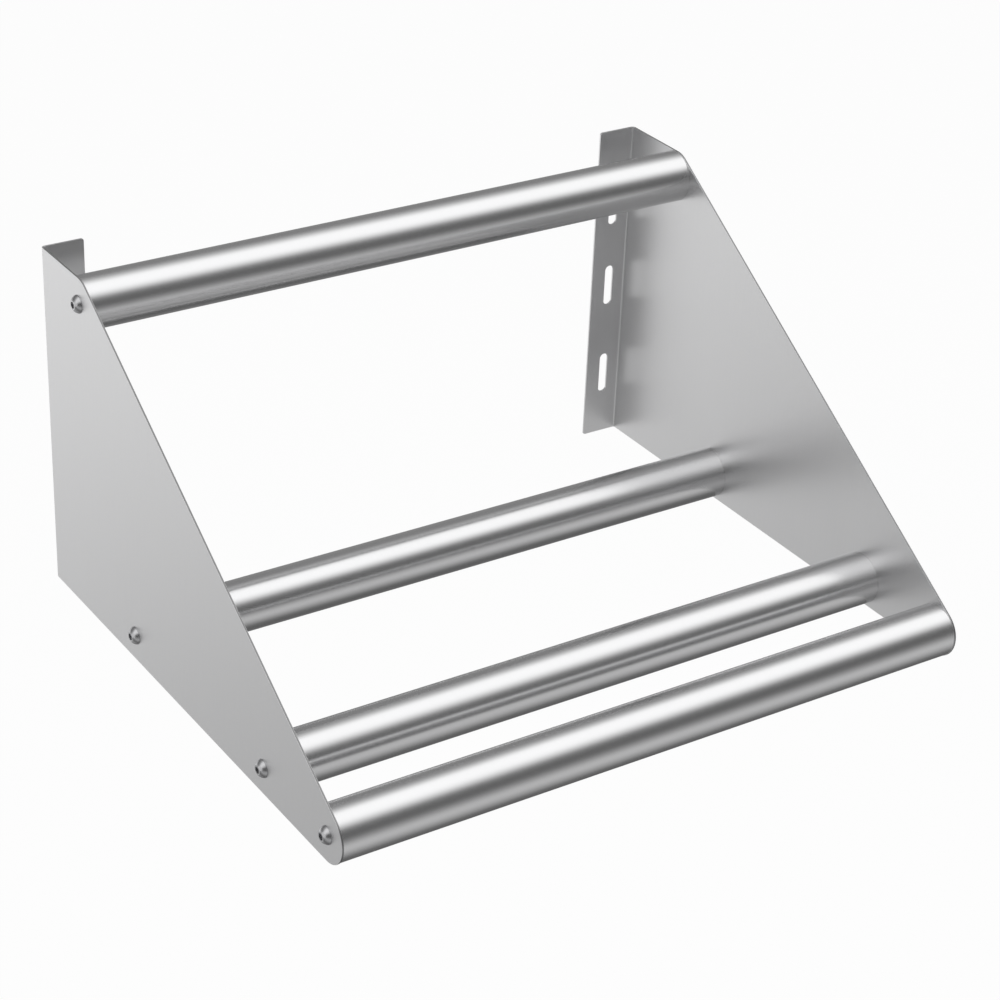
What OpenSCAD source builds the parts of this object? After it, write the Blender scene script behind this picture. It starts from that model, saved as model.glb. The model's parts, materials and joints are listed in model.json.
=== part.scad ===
// Wall-mounted glass rack shelf.
// Two folded sheet end plates carry four round tube rails. Each rail end holds a threaded plug,
// and a button-head screw through the plate draws the rail tight against it.
// Frame: X along the wall with 0 at mid-span, Y = 0 is the wall and the shelf stands out towards -Y,
// Z = 0 is the lower edge of the end plates. Millimetres.

/* [Shelf] */
// Width over the outer faces of the end plates
shelf_w = 533.4; // [450:0.1:900]
// Height of the end plates
plate_h = 280; // [250:1:320]

/* [Rails] */
// Outside diameter of the rail tube
rail_d = 41.3; // [38:0.1:42]
// Wall thickness of the rail tube
rail_wall = 1.5; // [1.2:0.1:2.5]
// Distance from the wall to the centre of the top rail
top_rail_out = 63; // [45:0.5:80]
// Distance from the wall to the centre of the rear rail
rear_rail_out = 142; // [110:0.5:190]
// Distance from the wall to the centre of the middle rail
middle_rail_out = 340.5; // [280:0.5:360]
// Distance from the wall to the centre of the front rail
front_rail_out = 429.5; // [405:0.5:480]

/* [End plates] */
// Thickness of the plate sheet
sheet_t = 1.6; // [1.2:0.1:2]
// Inner radius of the fold between plate and wall flange
fold_r = 1.6; // [1:0.1:3]
// Distance from the outer rails' centres to the edges of the plate
edge_reach = 21; // [21:0.1:24]
// Width of the wall flange, measured from the plate's outer face
flange_w = 34; // [28:0.5:45]
// Radius on the free corners of the wall flange
flange_corner_r = 2; // [1:0.5:5]

/* [Wall slots] */
// Width of a wall slot
slot_w = 8; // [6:0.5:10]
// Length of a wall slot from end to end
slot_len = 36; // [25:1:45]
// Height of the lowest slot's centre
low_slot_z = 56.5; // [40:0.5:70]
// Height of the middle slot's centre
middle_slot_z = 139.5; // [120:0.5:150]
// Height of the upper slot's centre
upper_slot_z = 213.5; // [200:0.5:225]

/* [Screws and plugs] */
// Thread diameter of the rail screws
screw_d = 8; // [6, 8]
// Length of a rail screw under its head
screw_len = 18; // [16:1:25]
// Pitch of the thread
thread_pitch = 1.25; // [1:0.05:1.25]
// Diameter of the domed screw head
head_d = 14; // [13:0.5:16]
// Height of the domed screw head
head_h = 4.4; // [3.5:0.1:5]
// Width across the flats of the hexagon socket
socket_af = 5; // [4:0.5:5]
// Depth of the hexagon socket
socket_depth = 2.6; // [2:0.1:3]
// Clearance hole for the screw in the end plate
screw_hole_d = 8.6; // [8.2:0.1:9]
// Length of the threaded plug in a rail's end
plug_len = 12; // [8:1:20]

/* [Hidden] */

$fn = 96;

// Colours of the brushed plate, the polished tube, the plain steel plug and the screw
plate_color = [0.74, 0.74, 0.75];
rail_color = [0.82, 0.82, 0.83];
plug_color = [0.55, 0.55, 0.56];
screw_color = [0.62, 0.62, 0.64];

// Rail centres as [distance out from the wall, height]
low_rail_z = edge_reach;
top_rail_at = [top_rail_out, plate_h - edge_reach];
rear_rail_at = [rear_rail_out, low_rail_z];
middle_rail_at = [middle_rail_out, low_rail_z];
front_rail_at = [front_rail_out, low_rail_z];
RAILS = [top_rail_at, rear_rail_at, middle_rail_at, front_rail_at];

// Unit normal of the plate's sloping front edge, pointing out of the plate
slope_run = front_rail_at - top_rail_at;
slope_normal = [-slope_run[1], slope_run[0]] / norm(slope_run);

plate_depth = front_rail_out + edge_reach;
fold_outer_r = fold_r + sheet_t;
slot_x = flange_w / 2;
SLOT_HEIGHTS = [low_slot_z, middle_slot_z, upper_slot_z];

// Turned parts: radial play in the thread, small chamfers and the flat on top of a screw head
thread_play = 0.05;
thread_depth = 0.6;
chamfer = 0.5;
head_flat_r = 3.7;
head_rim_h = 0.5;

// A cut reaches this far past the surface that it opens
past = 1;

rail_len = shelf_w - 2 * sheet_t;
rail_bore_d = rail_d - 2 * rail_wall;

// Side view of an end plate: x runs out from the wall, y up
module plate_outline() {
    polygon([
        [0, 0],
        [front_rail_out, 0],
        front_rail_at + edge_reach * slope_normal,
        top_rail_at + edge_reach * slope_normal,
        [top_rail_out, plate_h],
        [0, plate_h],
    ]);
    translate(front_rail_at) circle(r = edge_reach);
    translate(top_rail_at) circle(r = edge_reach);
}

// Section through the folded sheet, seen from above: the plate runs along y, the flange along x
module fold_section() {
    translate([0, -plate_depth]) square([sheet_t, plate_depth - fold_outer_r]);
    translate([fold_outer_r, -sheet_t]) square([flange_w - fold_outer_r, sheet_t]);
    translate([fold_outer_r, -fold_outer_r])
        intersection() {
            difference() {
                circle(r = fold_outer_r);
                circle(r = fold_r);
            }
            translate([-fold_outer_r, 0]) square(fold_outer_r);
        }
}

// Vertical slot with round ends, cut through the flange
module wall_slot(height) {
    end_gap = slot_len - slot_w;
    translate([slot_x, past, height]) rotate([90, 0, 0])
        linear_extrude(sheet_t + 2 * past) {
            square([slot_w, end_gap], center = true);
            for (side = [-1, 1])
                translate([0, side * end_gap / 2]) circle(d = slot_w);
        }
}

// What is cut away to round one free corner of the flange; end is 1 at the top and 0 at the bottom
module flange_corner(end) {
    r = flange_corner_r;
    translate([flange_w - r, past, end * plate_h + (1 - 2 * end) * r]) rotate([90, 0, 0])
        linear_extrude(sheet_t + 2 * past)
            difference() {
                translate([0, (end - 1) * (r + past)]) square([r + past, r + past]);
                circle(r = r);
            }
}

// End plate with its outer face at x = 0 and its flange turned towards +x
module folded_plate() {
    color(plate_color)
    difference() {
        intersection() {
            linear_extrude(plate_h) fold_section();
            translate([flange_w, 0, 0]) rotate([90, 0, -90])
                linear_extrude(flange_w) plate_outline();
        }
        for (at = RAILS)
            translate([-past, -at[0], at[1]]) rotate([0, 90, 0])
                cylinder(d = screw_hole_d, h = sheet_t + 2 * past);
        for (height = SLOT_HEIGHTS) wall_slot(height);
        for (end = [0, 1]) flange_corner(end);
    }
}

// Puts a piece that is drawn from x = 0 inwards on the left or the right plate's outer face
module on_side(side, at = [0, 0]) {
    mirror([side > 0 ? 1 : 0, 0, 0])
        translate([-shelf_w / 2, -at[0], at[1]])
            children();
}

// Round tube between the inner faces of the plates
module rail(at) {
    color(rail_color)
    translate([-rail_len / 2, -at[0], at[1]]) rotate([0, 90, 0])
        difference() {
            cylinder(d = rail_d, h = rail_len);
            translate([0, 0, -past]) cylinder(d = rail_bore_d, h = rail_len + 2 * past);
        }
}

// Turned plug, flush with the rail's end, with the thread that takes the screw
module end_plug(side, at) {
    r = rail_bore_d / 2;
    bore_r = screw_d / 2 + thread_play;
    color(plug_color)
    on_side(side, at)
        translate([sheet_t, 0, 0]) rotate([0, 90, 0])
            rotate_extrude()
                polygon([
                    [bore_r + chamfer, 0],
                    [r, 0],
                    [r, plug_len - chamfer],
                    [r - chamfer, plug_len],
                    [bore_r + chamfer, plug_len],
                    [bore_r, plug_len - chamfer],
                    [bore_r, chamfer],
                ]);
}

// Half profile of the shank: a plain neck as thick as the sheet, thread ridges and a chamfered tip
module shank_profile() {
    r = screw_d / 2;
    root_r = r - thread_depth;
    neck = sheet_t + chamfer;
    turns = floor((screw_len - neck - chamfer) / thread_pitch);
    polygon(concat(
        [[0, 0], [r, 0], [r, neck]],
        [for (i = [0 : turns - 1], step = [0, 1])
            [step == 0 ? root_r : r, neck + (i + 0.25 + step * 0.5) * thread_pitch]],
        [[root_r, screw_len], [0, screw_len]]
    ));
}

// Button-head screw with a hexagon socket; its head stands out of the plate's outer face
module button_screw(side, at) {
    rim_r = head_d / 2;
    rise = head_h - head_rim_h;
    // The dome is a sphere through the rim and through the edge of the flat on top
    dome_drop = (rim_r * rim_r - head_flat_r * head_flat_r - rise * rise) / (2 * rise);
    dome_r = sqrt(rim_r * rim_r + dome_drop * dome_drop);
    color(screw_color)
    on_side(side, at) rotate([0, 90, 0]) {
        rotate_extrude() shank_profile();
        difference() {
            intersection() {
                translate([0, 0, -head_h]) cylinder(r = rim_r, h = head_h);
                translate([0, 0, dome_drop - head_rim_h]) sphere(r = dome_r);
            }
            translate([0, 0, -head_h - past])
                cylinder(d = socket_af / cos(30), h = socket_depth + past, $fn = 6);
        }
    }
}

module left_end_plate() { on_side(-1) folded_plate(); }
module right_end_plate() { on_side(1) folded_plate(); }

module top_rail() { rail(top_rail_at); }
module rear_rail() { rail(rear_rail_at); }
module middle_rail() { rail(middle_rail_at); }
module front_rail() { rail(front_rail_at); }

module top_rail_left_plug() { end_plug(-1, top_rail_at); }
module top_rail_right_plug() { end_plug(1, top_rail_at); }
module rear_rail_left_plug() { end_plug(-1, rear_rail_at); }
module rear_rail_right_plug() { end_plug(1, rear_rail_at); }
module middle_rail_left_plug() { end_plug(-1, middle_rail_at); }
module middle_rail_right_plug() { end_plug(1, middle_rail_at); }
module front_rail_left_plug() { end_plug(-1, front_rail_at); }
module front_rail_right_plug() { end_plug(1, front_rail_at); }

module top_rail_left_screw() { button_screw(-1, top_rail_at); }
module top_rail_right_screw() { button_screw(1, top_rail_at); }
module rear_rail_left_screw() { button_screw(-1, rear_rail_at); }
module rear_rail_right_screw() { button_screw(1, rear_rail_at); }
module middle_rail_left_screw() { button_screw(-1, middle_rail_at); }
module middle_rail_right_screw() { button_screw(1, middle_rail_at); }
module front_rail_left_screw() { button_screw(-1, front_rail_at); }
module front_rail_right_screw() { button_screw(1, front_rail_at); }

left_end_plate();
right_end_plate();
top_rail();
rear_rail();
middle_rail();
front_rail();
top_rail_left_plug();
top_rail_right_plug();
rear_rail_left_plug();
rear_rail_right_plug();
middle_rail_left_plug();
middle_rail_right_plug();
front_rail_left_plug();
front_rail_right_plug();
top_rail_left_screw();
top_rail_right_screw();
rear_rail_left_screw();
rear_rail_right_screw();
middle_rail_left_screw();
middle_rail_right_screw();
front_rail_left_screw();
front_rail_right_screw();
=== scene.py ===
"""Wall-mounted glass rack shelf: two folded stainless end plates joined by four round tube rails."""
import json
import math

import bpy
from mathutils import Matrix, Vector


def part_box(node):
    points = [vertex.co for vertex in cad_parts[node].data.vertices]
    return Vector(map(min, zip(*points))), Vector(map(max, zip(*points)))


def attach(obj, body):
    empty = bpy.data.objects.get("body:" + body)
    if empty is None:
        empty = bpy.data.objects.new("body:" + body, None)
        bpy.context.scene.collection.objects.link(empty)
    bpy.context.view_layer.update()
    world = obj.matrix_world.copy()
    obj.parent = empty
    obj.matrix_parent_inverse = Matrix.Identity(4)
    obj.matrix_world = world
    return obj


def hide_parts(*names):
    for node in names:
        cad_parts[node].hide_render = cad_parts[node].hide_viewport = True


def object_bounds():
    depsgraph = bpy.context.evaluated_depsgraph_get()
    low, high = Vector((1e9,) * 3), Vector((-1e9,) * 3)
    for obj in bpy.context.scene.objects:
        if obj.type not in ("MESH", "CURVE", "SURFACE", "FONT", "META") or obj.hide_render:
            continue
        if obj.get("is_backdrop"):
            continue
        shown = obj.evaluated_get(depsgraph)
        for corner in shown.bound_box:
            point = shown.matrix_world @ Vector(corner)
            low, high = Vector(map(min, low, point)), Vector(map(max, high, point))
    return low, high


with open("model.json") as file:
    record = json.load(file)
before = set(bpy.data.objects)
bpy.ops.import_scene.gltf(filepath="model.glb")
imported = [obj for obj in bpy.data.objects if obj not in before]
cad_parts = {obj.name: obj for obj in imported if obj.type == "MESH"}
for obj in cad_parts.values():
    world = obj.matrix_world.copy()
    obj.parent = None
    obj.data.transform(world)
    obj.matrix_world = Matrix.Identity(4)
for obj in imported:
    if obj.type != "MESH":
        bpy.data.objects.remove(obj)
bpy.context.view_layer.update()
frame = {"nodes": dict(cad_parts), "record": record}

# Camera
# It stands in front of the shelf, to its left and above it, with a long lens, and is rolled a little.
CAMERA_AT = Vector((-0.98667, -1.6917, 1.08032))
CAMERA_TURN = math.radians(-33.874)
CAMERA_DOWN = math.radians(28.891)
CAMERA_ROLL = math.radians(2.448)
CAMERA_LENS_MM = 96.47
CAMERA_SENSOR_MM = 36

camera = bpy.data.objects.new("camera", bpy.data.cameras.new("camera"))
bpy.context.scene.collection.objects.link(camera)
camera.data.lens = CAMERA_LENS_MM
camera.data.sensor_width = CAMERA_SENSOR_MM
camera.matrix_world = (
    Matrix.Translation(CAMERA_AT)
    @ Matrix.Rotation(CAMERA_TURN, 4, "Z")
    @ Matrix.Rotation(math.radians(90) - CAMERA_DOWN, 4, "X")
    @ Matrix.Rotation(CAMERA_ROLL, 4, "Z")
)
bpy.context.scene.camera = camera
bpy.context.scene.view_settings.view_transform = "Standard"


# End plates
# Each is one blank of 1.6 mm stainless sheet, cut with rounded corners round the outer rails and folded
# inwards at the rear into a wall flange. Its slots and screw holes are punched and its edges broken.
MM = 0.001
RAILS = ("top_rail", "rear_rail", "middle_rail", "front_rail")
SHEET_T = 1.6 * MM
FOLD_INNER_R = 1.6 * MM
FOLD_STEPS = 10
OUTLINE_TURN_STEPS = 22
FLANGE_CORNER_R = 2 * MM
FLANGE_CORNER_STEPS = 6
SCREW_HOLE_R = 4.3 * MM
PUNCH_DEPTH = 8 * MM
PUNCH_SIDES = 48
BROKEN_EDGE = 0.22 * MM
SMOOTH_BELOW = math.radians(35)
NEAR = 0.01 * MM
MARK_DEPTH = 0.2 * MM


def only(obj):
    """Leaves obj as the one selected and active object."""
    bpy.ops.object.select_all(action="DESELECT")
    obj.select_set(True)
    bpy.context.view_layer.objects.active = obj


def name_piece(obj, name):
    obj.name = name
    obj.data.name = name
    return obj


def settle(obj):
    """Puts the object's place, turn and size into its mesh."""
    only(obj)
    bpy.ops.object.transform_apply(location=True, rotation=True, scale=True)


def modify(obj, kind, **settings):
    """Adds a modifier with these settings and applies it."""
    only(obj)
    modifier = obj.modifiers.new(kind.title(), kind)
    for setting, value in settings.items():
        setattr(modifier, setting, value)
    bpy.ops.object.modifier_apply(modifier=modifier.name)


def pick(obj, test, part="verts"):
    """In edit mode, selects the vertices, edges or faces whose corners all pass the test."""
    bpy.ops.mesh.select_mode(type={"verts": "VERT", "edges": "EDGE", "faces": "FACE"}[part])
    bpy.ops.mesh.select_all(action="DESELECT")
    bpy.ops.object.mode_set(mode="OBJECT")
    mesh = obj.data
    if part == "verts":
        for vertex in mesh.vertices:
            vertex.select = test(vertex.co)
    else:
        for item in mesh.edges if part == "edges" else mesh.polygons:
            item.select = all(test(mesh.vertices[index].co) for index in item.vertices)
    bpy.ops.object.mode_set(mode="EDIT")


def finish_edges(obj):
    """Breaks the sharp edges and shades the rest smooth, with flat faces kept flat."""
    modify(
        obj, "BEVEL", width=BROKEN_EDGE, segments=2, limit_method="ANGLE",
        angle_limit=SMOOTH_BELOW, harden_normals=False, miter_outer="MITER_ARC",
    )
    only(obj)
    bpy.ops.object.shade_smooth_by_angle(angle=SMOOTH_BELOW)
    modify(obj, "WEIGHTED_NORMAL", keep_sharp=True, weight=100)


plate_low, plate_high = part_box("left_end_plate")
top_low, top_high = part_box("top_rail")
front_low, front_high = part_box("front_rail")
top_centre = (top_low + top_high) / 2
front_centre = (front_low + front_high) / 2
edge_reach = plate_high.z - top_centre.z
fold_outer_r = FOLD_INNER_R + SHEET_T
mid_sheet_x = plate_low.x + SHEET_T / 2

# The sloping edge, and the turns that the outline takes round the front and the top rail
slope = top_centre - front_centre
slope_angle = math.atan2(slope.z, slope.y)
nose_turn = math.pi - slope_angle


def end_of(obj):
    """Where the traced line's last, selected vertex is."""
    bpy.ops.object.mode_set(mode="OBJECT")
    place = next(vertex.co.copy() for vertex in obj.data.vertices if vertex.select)
    bpy.ops.object.mode_set(mode="EDIT")
    return place


def trace_plate():
    """The left plate's middle surface: an outline, traced and filled, its rear edge spun into the flange."""
    bpy.ops.object.select_all(action="DESELECT")
    bpy.ops.mesh.primitive_plane_add(size=edge_reach, location=(mid_sheet_x, -fold_outer_r, plate_low.z))
    sheet = bpy.context.object
    settle(sheet)
    bpy.ops.object.mode_set(mode="EDIT")
    bpy.ops.mesh.select_all(action="SELECT")
    bpy.ops.mesh.merge(type="CENTER")

    def run_to(y, z):
        corner = end_of(sheet)
        bpy.ops.mesh.extrude_region_move(
            TRANSFORM_OT_translate={"value": (0, y - corner.y, z - corner.z)}
        )

    def turn_round(centre, angle):
        bpy.ops.mesh.spin(steps=OUTLINE_TURN_STEPS, angle=angle, center=centre, axis=(1, 0, 0))

    run_to(front_centre.y, plate_low.z)
    turn_round((mid_sheet_x, front_centre.y, front_centre.z), nose_turn)
    corner = end_of(sheet)
    run_to(corner.y + slope.y, corner.z + slope.z)
    turn_round((mid_sheet_x, top_centre.y, top_centre.z), slope_angle)
    run_to(-fold_outer_r, plate_high.z)
    bpy.ops.mesh.select_all(action="SELECT")
    bpy.ops.mesh.remove_doubles(threshold=NEAR)
    bpy.ops.mesh.edge_face_add()

    pick(sheet, lambda co: co.y > -fold_outer_r - NEAR, "edges")
    fold_at = (plate_low.x + fold_outer_r, -fold_outer_r, 0)
    bpy.ops.mesh.spin(steps=FOLD_STEPS, angle=math.radians(90), center=fold_at, axis=(0, 0, 1))
    bpy.ops.mesh.extrude_region_move(
        TRANSFORM_OT_translate={"value": (plate_high.x - plate_low.x - fold_outer_r, 0, 0)}
    )
    pick(sheet, lambda co: co.x > plate_high.x - NEAR)
    bpy.ops.mesh.bevel(offset=FLANGE_CORNER_R, segments=FLANGE_CORNER_STEPS, affect="VERTICES")
    bpy.ops.mesh.select_all(action="SELECT")
    bpy.ops.mesh.remove_doubles(threshold=NEAR)
    bpy.ops.mesh.normals_make_consistent(inside=False)
    bpy.ops.object.mode_set(mode="OBJECT")
    return sheet


def punch_bar(radius, location, rotation):
    """A round bar that goes through the sheet."""
    bpy.ops.object.select_all(action="DESELECT")
    bpy.ops.mesh.primitive_cylinder_add(
        vertices=PUNCH_SIDES, radius=radius, depth=PUNCH_DEPTH, location=location, rotation=rotation
    )
    bar = bpy.context.object
    settle(bar)
    return bar


def punches():
    """One solid for all that is punched out: three slots with round ends and four screw holes."""
    tools = []
    mounts = {mount["name"]: mount for mount in frame["record"]["mounts"]}
    heights = set()
    for name in ("left_lower_slots", "left_upper_slots"):
        mount = mounts[name]
        for side in (-1, 1):
            heights.add(round(mount["pos_m"][2] + side * mount["dims"]["spacing_y_mm"] * MM / 2, 6))
    slot_r = mount["dims"]["hole_r_mm"] * MM
    half_gap = mount["dims"]["slot_length_mm"] * MM / 2 - slot_r
    half_step = math.pi / PUNCH_SIDES
    for height in sorted(heights):
        slot = punch_bar(slot_r, (mount["pos_m"][0], 0, height), (math.radians(90), half_step, 0))
        bpy.ops.object.mode_set(mode="EDIT")
        for side in (-1, 1):
            pick(slot, lambda co: side * (co.z - height) > 0)
            bpy.ops.transform.translate(value=(0, 0, side * half_gap))
        bpy.ops.object.mode_set(mode="OBJECT")
        tools.append(slot)
    for rail in RAILS:
        low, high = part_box(rail)
        middle = (low + high) / 2
        tools.append(punch_bar(SCREW_HOLE_R, (mid_sheet_x, middle.y, middle.z), (0, math.radians(90), 0)))
    bpy.ops.object.select_all(action="DESELECT")
    for tool in tools:
        tool.select_set(True)
    bpy.context.view_layer.objects.active = tools[0]
    bpy.ops.object.join()
    return tools[0]


def mirrored(obj):
    """A copy with its own mesh, reflected in the plane x = 0, facing outwards."""
    twin = obj.copy()
    twin.data = obj.data.copy()
    bpy.context.scene.collection.objects.link(twin)
    only(twin)
    twin.scale.x = -1
    settle(twin)
    bpy.ops.object.mode_set(mode="EDIT")
    bpy.ops.mesh.select_all(action="SELECT")
    bpy.ops.mesh.normals_make_consistent(inside=False)
    bpy.ops.object.mode_set(mode="OBJECT")
    return twin


class Value:
    """A shader socket that can be used in plain arithmetic."""

    def __init__(self, finish, socket):
        self.finish = finish
        self.socket = socket

    def __add__(self, other):
        return self.finish.calc("ADD", self, other)

    def __radd__(self, other):
        return self.finish.calc("ADD", other, self)

    def __sub__(self, other):
        return self.finish.calc("SUBTRACT", self, other)

    def __rsub__(self, other):
        return self.finish.calc("SUBTRACT", other, self)

    def __mul__(self, other):
        return self.finish.calc("MULTIPLY", self, other)

    def __rmul__(self, other):
        return self.finish.calc("MULTIPLY", other, self)

    def __neg__(self):
        return self.finish.calc("MULTIPLY", self, -1.0)


class Made:
    """A node whose outputs are read by name, as values."""

    def __init__(self, finish, node):
        self.finish = finish
        self.node = node

    def __getitem__(self, name):
        return Value(self.finish, self.node.outputs[name])


class Finish:
    """A material, built from its nodes."""

    def __init__(self, name):
        self.material = bpy.data.materials.new(name)
        self.material.use_nodes = True
        self.tree = self.material.node_tree
        self.tree.nodes.clear()

    def node(self, kind, settings=None, inputs=None):
        """Adds a node, sets it, and gives its sockets values or links."""
        node = self.tree.nodes.new(kind)
        for setting, value in (settings or {}).items():
            setattr(node, setting, value)
        for name, value in (inputs or {}).items():
            if isinstance(value, Value):
                self.tree.links.new(value.socket, node.inputs[name])
            else:
                node.inputs[name].default_value = value
        return Made(self, node)

    def output(self, shader):
        self.node("ShaderNodeOutputMaterial", inputs={"Surface": shader})
        return self.material

    def place(self):
        """The object's own x, y and z, in metres."""
        point = self.node("ShaderNodeTexCoord")["Object"]
        parts = self.node("ShaderNodeSeparateXYZ", inputs={"Vector": point})
        return parts["X"], parts["Y"], parts["Z"]

    def calc(self, operation, *terms):
        return self.node("ShaderNodeMath", {"operation": operation}, dict(enumerate(terms)))["Value"]

    def over(self, value, limit):
        """1 where the value is over the limit, else 0."""
        return self.calc("GREATER_THAN", value, limit)

    def noise(self, x, y, z, detail=2.0):
        """Noise from 0 to 1 that varies once over each unit of x, y and z."""
        at = self.node("ShaderNodeCombineXYZ", inputs={"X": x, "Y": y, "Z": z})["Vector"]
        return self.node(
            "ShaderNodeTexNoise", inputs={"Vector": at, "Scale": 1.0, "Detail": detail}
        )["Fac"]

    def tinted(self, base, tone):
        """The base colour, scaled by the tone."""
        return self.node("ShaderNodeVectorMath", {"operation": "SCALE"}, {0: base, "Scale": tone})["Vector"]

    def relief(self, strength, height):
        """The normal over fine marks of this height."""
        return self.node(
            "ShaderNodeBump", inputs={"Strength": strength, "Distance": MARK_DEPTH, "Height": height}
        )["Normal"]

    def metal(self, color, roughness, **more):
        """Finishes the material as bare metal."""
        shader = self.node(
            "ShaderNodeBsdfPrincipled",
            inputs={"Base Color": color, "Metallic": 1.0, "Roughness": roughness, **more},
        )["BSDF"]
        return self.output(shader)


PLATE_STEEL = (0.70, 0.70, 0.705)
PLATE_ROUGHNESS = 0.36
PLATE_BRUSHING = 0.6
# How far the cut edges are darkened: painted shade that dims the highlight along them
PAINTED_EDGE_SHADE_TONE = 0.42
EDGE_ROUGHER = 0.14
EDGE_BAND = SHEET_T * 0.40
# Marks per metre: across and along the brushing for its fine and broad lines, then for the cloudiness
SHEET_FINE = (5200, 45)
SHEET_BROAD = (900, 14)
SHEET_CLOUD = 9


def brushed_sheet():
    """Satin stainless: a fine upright grain over faint cloudiness, rougher along the cut edges left by the
    shear, and darkened there with painted shade that dims their highlight.
    """
    steel = Finish("brushed_sheet")
    x, y, z = steel.place()
    across = x + y
    grain = steel.noise(across * SHEET_FINE[0], z * SHEET_FINE[1], 0.0, detail=3.0)
    broad = steel.noise(across * SHEET_BROAD[0], z * SHEET_BROAD[1], 3.0)
    cloud = steel.noise(x * SHEET_CLOUD, y * SHEET_CLOUD, z * SHEET_CLOUD)
    between_faces = steel.calc("COMPARE", steel.calc("ABSOLUTE", x), -mid_sheet_x, EDGE_BAND)
    sheared_edge_and_shade = between_faces * steel.over(-y, fold_outer_r)
    brushed = 1.0 + (grain - 0.5) * 0.05 + (broad - 0.5) * 0.03 + (cloud - 0.5) * 0.03
    # Painted shade: the cut edges are darkened in colour; their added roughness is the real dull shear
    tone = brushed * (1.0 - sheared_edge_and_shade * (1.0 - PAINTED_EDGE_SHADE_TONE))
    roughness = PLATE_ROUGHNESS + (grain - 0.5) * 0.06 + (cloud - 0.5) * 0.03 + sheared_edge_and_shade * EDGE_ROUGHER
    return steel.metal(
        steel.tinted(PLATE_STEEL, tone), roughness,
        Normal=steel.relief(0.06, grain + broad * 0.5), Anisotropic=PLATE_BRUSHING,
    )


sheet = trace_plate()
punch = punches()
sides = (("left", sheet, punch), ("right", mirrored(sheet), mirrored(punch)))
plate_finish = brushed_sheet()
for side, plate, tool in sides:
    modify(plate, "SOLIDIFY", thickness=SHEET_T, offset=0, use_even_offset=True)
    modify(plate, "BOOLEAN", operation="DIFFERENCE", solver="EXACT", object=tool)
    finish_edges(plate)
    name_piece(plate, f"{side}_folded_plate")
    plate.data.materials.clear()
    plate.data.materials.append(plate_finish)
    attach(plate, "root")
    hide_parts(f"{side}_end_plate")
    bpy.data.objects.remove(tool)


# Rails
# Stainless tube of 41.3 mm diameter and 1.5 mm wall, cut square, its ends deburred, and polished round
# and round on a belt. The screws hold each rail between the plates.
RAIL_WALL = 1.5 * MM
RAIL_SIDES = 160
RAIL_STEEL = (0.72, 0.72, 0.725)
RAIL_ROUGHNESS = 0.24
# Marks per metre: along the rail and round it for its fine rings and broad bands, then for the cloudiness
RAIL_RINGS = (5200, 40)
RAIL_BANDS = (240, 6)
RAIL_CLOUD = 12


def polished_tube():
    """Bright stainless tube: very fine rings left by the belt, and a slight unevenness along its length."""
    steel = Finish("polished_tube")
    x, y, z = steel.place()
    rings = steel.noise(x * RAIL_RINGS[0], y * RAIL_RINGS[1], z * RAIL_RINGS[1], detail=3.0)
    bands = steel.noise(x * RAIL_BANDS[0], y * RAIL_BANDS[1], z * RAIL_BANDS[1])
    cloud = steel.noise(x * RAIL_CLOUD, y * RAIL_CLOUD, z * RAIL_CLOUD)
    tone = 1.0 + (rings - 0.5) * 0.03 + (cloud - 0.5) * 0.02
    roughness = RAIL_ROUGHNESS + (rings - 0.5) * 0.06 + (bands - 0.5) * 0.03
    return steel.metal(
        steel.tinted(RAIL_STEEL, tone), roughness, Normal=steel.relief(0.04, rings + bands * 0.4)
    )


rail_finish = polished_tube()
rail_size = front_high - front_low
bpy.ops.object.select_all(action="DESELECT")
bpy.ops.mesh.primitive_cylinder_add(
    vertices=RAIL_SIDES, radius=rail_size.z / 2, depth=rail_size.x, end_fill_type="NOTHING",
    location=(0, 0, 0), rotation=(0, math.radians(90), 0),
)
pattern = bpy.context.object
settle(pattern)
modify(pattern, "SOLIDIFY", thickness=RAIL_WALL, offset=-1, use_even_offset=True)
finish_edges(pattern)
for rail in RAILS:
    low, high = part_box(rail)
    tube = pattern.copy()
    tube.data = pattern.data.copy()
    bpy.context.scene.collection.objects.link(tube)
    tube.location = (low + high) / 2
    settle(tube)
    name_piece(tube, f"{rail}_tube")
    tube.data.materials.append(rail_finish)
    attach(tube, "root")
    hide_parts(rail)
bpy.data.objects.remove(pattern)


# End plugs and screws
# A turned steel plug is pressed into each rail end and tapped, and a stainless button-head screw with a
# hexagon socket draws the plate against the rail's end.
PLUG_STEEL = (0.50, 0.50, 0.51)
SCREW_STEEL = (0.48, 0.48, 0.49)
TURNED_ROUGHNESS = 0.26
# Marks per metre: along the axis and across it for the tool rings, then for the cloudiness
TURNED_RINGS = (6000, 50)
TURNED_CLOUD = 300


def turned_steel(name, base):
    """Bare turned steel with fine tool rings."""
    steel = Finish(name)
    x, y, z = steel.place()
    rings = steel.noise(x * TURNED_RINGS[0], y * TURNED_RINGS[1], z * TURNED_RINGS[1])
    cloud = steel.noise(x * TURNED_CLOUD, y * TURNED_CLOUD, z * TURNED_CLOUD)
    tone = 1.0 + (cloud - 0.5) * 0.08
    roughness = TURNED_ROUGHNESS + (rings - 0.5) * 0.08 + (cloud - 0.5) * 0.06
    return steel.metal(steel.tinted(base, tone), roughness)


turned = {"plug": turned_steel("plug_steel", PLUG_STEEL), "screw": turned_steel("screw_steel", SCREW_STEEL)}
for name, node in frame["nodes"].items():
    kind = name.split("_")[-1]
    if kind in turned:
        node.data.materials.clear()
        node.data.materials.append(turned[kind])


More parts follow.
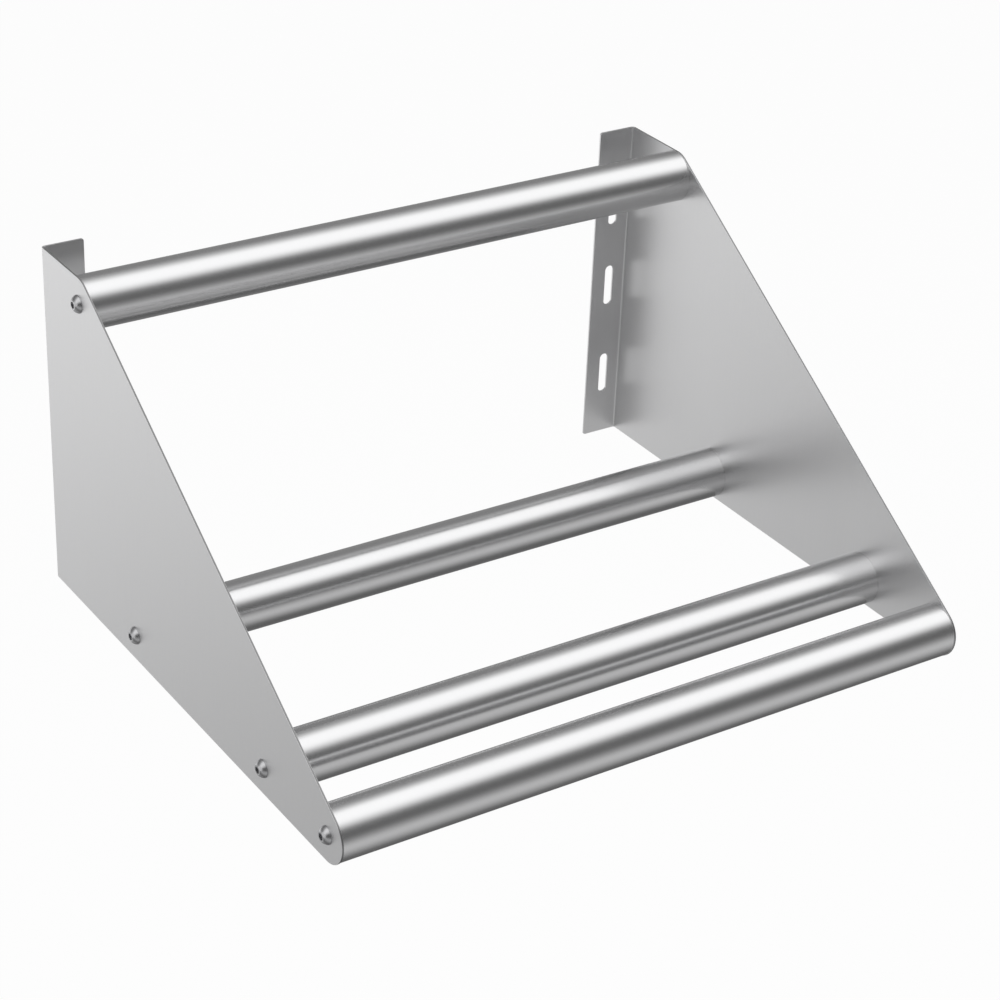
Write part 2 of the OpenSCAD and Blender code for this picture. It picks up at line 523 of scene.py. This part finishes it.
# Floor, lamp and tent
# The shelf hangs well above a pale floor, as it does on its wall. One broad soft lamp is overhead, and a
# graded tent, which only mirrors see, gives the steel a bright top, a dark horizon and a grey ground.
def camera_or_mirror(finish):
    """1 on rays from the camera, off polished metal or through glass, and 0 on those that carry light."""
    rays = finish.node("ShaderNodeLightPath")
    return finish.node(
        "ShaderNodeMath", {"operation": "ADD", "use_clamp": True},
        {0: rays["Is Camera Ray"] + rays["Is Glossy Ray"], 1: rays["Is Transmission Ray"]},
    )["Value"]


WHITE = (1, 1, 1, 1)
FLOOR_Z = -1.5
FLOOR_SIZE = 60
FLOOR_TONE = (0.9, 0.9, 0.9, 1)
FLOOR_GLOW = 0.96
floor_finish = Finish("floor")
lit = floor_finish.node("ShaderNodeBsdfDiffuse", inputs={"Color": FLOOR_TONE})["BSDF"]
glow = floor_finish.node("ShaderNodeEmission", inputs={"Color": WHITE, "Strength": 1.0})["Emission"]
seen = floor_finish.node(
    "ShaderNodeMixShader",
    inputs={"Fac": camera_or_mirror(floor_finish) * FLOOR_GLOW, 1: lit, 2: glow},
)["Shader"]
floor_finish.output(seen)

bpy.ops.object.select_all(action="DESELECT")
bpy.ops.mesh.primitive_plane_add(size=FLOOR_SIZE, location=(0, 0, FLOOR_Z))
floor = name_piece(bpy.context.object, "floor")
floor.data.materials.append(floor_finish.material)
floor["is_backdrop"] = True

world = bpy.data.worlds.new("surround")
world.use_nodes = True
bpy.context.scene.world = world


class Surround(Finish):
    """The world's nodes, built in the same way."""

    def __init__(self, tree):
        self.tree = tree
        self.tree.nodes.clear()


AMBIENT = 0.35
surround = Surround(world.node_tree)
background = surround.node(
    "ShaderNodeBackground",
    inputs={"Color": WHITE, "Strength": camera_or_mirror(surround) * (1 - AMBIENT) + AMBIENT},
)["Background"]
surround.node("ShaderNodeOutputWorld", inputs={"Surface": background})

LAMP_AT = Vector((0, -0.8, 3))
LAMP_TOWARDS = Vector((0, -0.79, 0))
LAMP_WIDTH = 6
LAMP_DEPTH = 3.6
LAMP_WATTS = 95
lamp = bpy.data.objects.new("overhead_lamp", bpy.data.lights.new("overhead_lamp", "AREA"))
bpy.context.scene.collection.objects.link(lamp)
lamp.data.shape = "RECTANGLE"
lamp.data.size = LAMP_WIDTH
lamp.data.size_y = LAMP_DEPTH
lamp.data.energy = LAMP_WATTS
lamp.location = LAMP_AT
lamp.rotation_mode = "QUATERNION"
lamp.rotation_quaternion = (LAMP_TOWARDS - LAMP_AT).to_track_quat("-Z", "Y")
lamp.visible_glossy = False

# Angle above the level in front of the shelf, going over the top to the back, and the brightness there
TENT_GRADES = (
    (-180, 0.30), (-140, 0.25), (-100, 0.12), (-78, 0.17), (-42, 0.62), (-28, 0.62), (-3, 0.22), (7, 0.14),
    (22, 0.15), (34, 0.25), (58, 1.20), (70, 1.34), (100, 1.34), (122, 0.55), (140, 0.27), (165, 0.26),
    (180, 0.30),
)
# What is added to it low down behind the shelf's left side, where the end plates look
LEFT_GRADES = (
    (-180, 0.70), (-160, 0.90), (-140, 0.39), (-120, 0.34), (-100, 0.30), (-78, 0), (165, 0), (180, 0.70),
)
LEFT_RAMP = (-1.0, 0.2)
TENT_PEAK = 1.5
TENT_CENTRE = Vector((0, -0.25, 0.13))
TENT_MIDDLE_Z = 0.8
TENT_SIZE = (14, 7, 4.5)
tent_finish = Finish("tent")
x, y, z = tent_finish.place()
sweep = tent_finish.calc("ARCTAN2", z - TENT_CENTRE.z, TENT_CENTRE.y - y)


def graded(finish, turn, grades):
    """Brightness over the sweep, as a colour ramp."""
    ramp = finish.node("ShaderNodeValToRGB", inputs={"Fac": turn * (0.5 / math.pi) + 0.5})
    stops = ramp.node.color_ramp.elements
    while len(stops) < len(grades):
        stops.new(0.5)
    for stop, (angle, level) in zip(stops, grades):
        stop.position = (angle + 180) / 360
    for stop, (angle, level) in zip(stops, grades):
        share = level / TENT_PEAK
        stop.color = (share, share, share, 1)
    return ramp["Color"]


def eased(finish, value, low, high):
    """0 below low, 1 above high, and a smooth change between."""
    return finish.node(
        "ShaderNodeMapRange", {"interpolation_type": "SMOOTHSTEP"},
        {"Value": value, "From Min": low, "From Max": high},
    )["Result"]


to_left = 1 - eased(tent_finish, x, *LEFT_RAMP)
level = graded(tent_finish, sweep, TENT_GRADES) + graded(tent_finish, sweep, LEFT_GRADES) * to_left
tent_glow = tent_finish.node("ShaderNodeEmission", inputs={"Color": level * TENT_PEAK, "Strength": 1.0})
tent_finish.output(tent_glow["Emission"])
bpy.ops.object.select_all(action="DESELECT")
bpy.ops.mesh.primitive_cube_add(size=1, location=(0, TENT_CENTRE.y, TENT_MIDDLE_Z))
tent = name_piece(bpy.context.object, "mirror_tent")
tent.scale = TENT_SIZE
settle(tent)
bpy.ops.object.mode_set(mode="EDIT")
for side in (-1, 1):
    pick(tent, lambda co: co.x * side > 0, "faces")
    bpy.ops.mesh.delete(type="ONLY_FACE")
bpy.ops.object.mode_set(mode="OBJECT")
tent.data.materials.append(tent_finish.material)
for ray in ("camera", "diffuse", "shadow", "transmission", "volume_scatter"):
    setattr(tent, f"visible_{ray}", False)
tent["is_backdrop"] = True

low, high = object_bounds()
